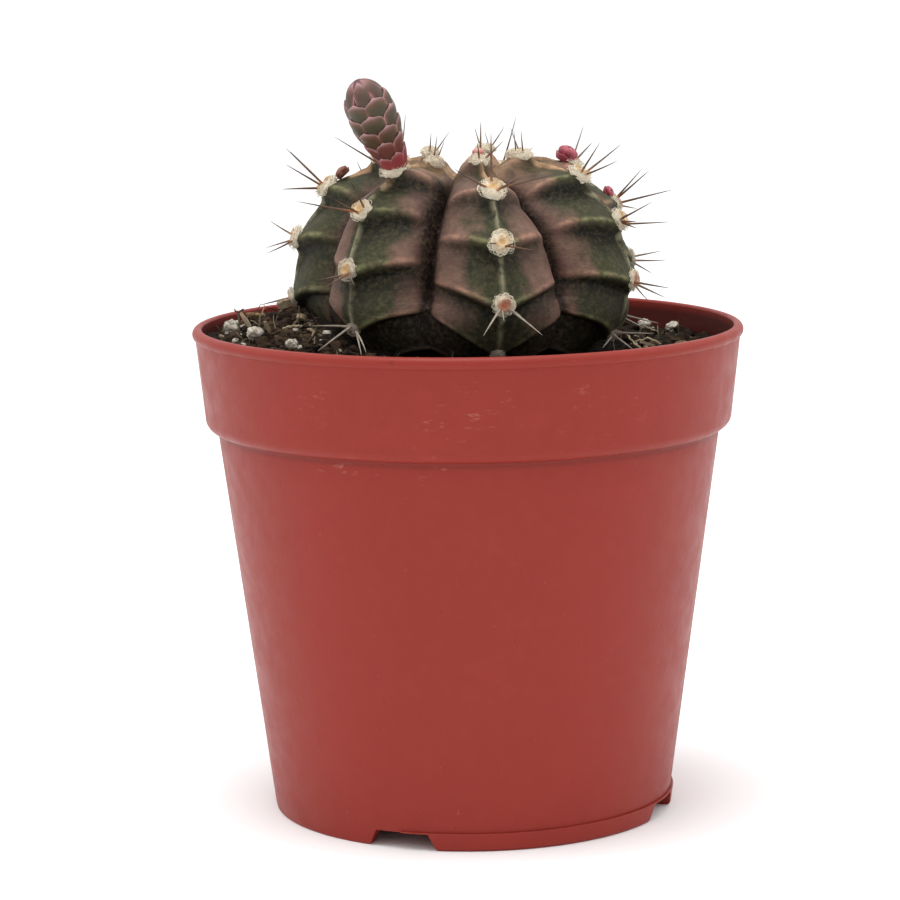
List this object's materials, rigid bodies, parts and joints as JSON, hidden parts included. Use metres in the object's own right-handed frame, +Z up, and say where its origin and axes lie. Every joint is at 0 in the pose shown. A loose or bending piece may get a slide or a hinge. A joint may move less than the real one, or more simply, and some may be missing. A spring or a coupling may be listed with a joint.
{
  "type": "potted round cactus",
  "caption": "Round ribbed cactus with woolly, spiny areoles and a scaled flower bud, growing in soil in a tapered round plastic nursery pot with a notched foot.",
  "frame": {"origin": "on the pot's axis, at the level that the pot's foot stands on", "axes": "+Z up along the pot's axis, -Y towards the front of the plant, +X to the right seen from the front; the flower bud leans to -X"},
  "size_m": [0.085, 0.085, 0.1151],
  "materials": {
    "pot_plastic": "satin moulded polypropylene, terracotta red, faint scuffs on the band",
    "potting_soil": "dark peat with fibres, matt",
    "stem_skin": "waxy olive green skin, mauve towards the furrows, with pale bands",
    "areole_wool": "cream wool felt with tan to grey-brown spines",
    "bud_scales": "overlapping olive-brown scales with pink margins, slightly waxy",
    "bud_red": "smooth young bud, carmine red",
    "perlite": "white expanded mineral grain, matt",
    "bark": "weathered bark chip, matt"
  },
  "bodies": {
    "root": {"areole_a1": "areole_wool", "areole_a2": "areole_wool", "areole_a3": "areole_wool", "areole_a4": "areole_wool", "areole_b1": "areole_wool", "areole_b2": "areole_wool", "areole_b3": "areole_wool", "areole_b4": "areole_wool", "areole_b5": "areole_wool", "areole_c1": "areole_wool", "areole_c2": "areole_wool", "areole_c3": "areole_wool", "areole_c4": "areole_wool", "areole_d1": "areole_wool", "areole_d2": "areole_wool", "areole_d3": "areole_wool", "areole_d4": "areole_wool", "areole_d5": "areole_wool", "areole_e1": "areole_wool", "areole_e2": "areole_wool", "areole_e3": "areole_wool", "areole_e4": "areole_wool", "areole_e5": "areole_wool", "areole_f1": "areole_wool", "areole_f2": "areole_wool", "areole_f3": "areole_wool", "areole_f4": "areole_wool", "areole_g1": "areole_wool", "areole_g2": "areole_wool", "areole_g3": "areole_wool", "areole_g4": "areole_wool", "areole_g5": "areole_wool", "bark_chip_1": "bark", "bark_chip_2": "bark", "bark_chip_3": "bark", "bark_chip_4": "bark", "flower_bud": "bud_scales", "perlite_1": "perlite", "perlite_2": "perlite", "perlite_3": "perlite", "perlite_4": "perlite", "perlite_5": "perlite", "perlite_6": "perlite", "perlite_7": "perlite", "perlite_8": "perlite", "pot": "pot_plastic", "red_bud": "bud_red", "soil": "potting_soil", "stem": "stem_skin", "young_bud_left": "bud_red", "young_bud_right": "bud_red", "young_bud_top": "bud_red"}
  },
  "joints": []
}
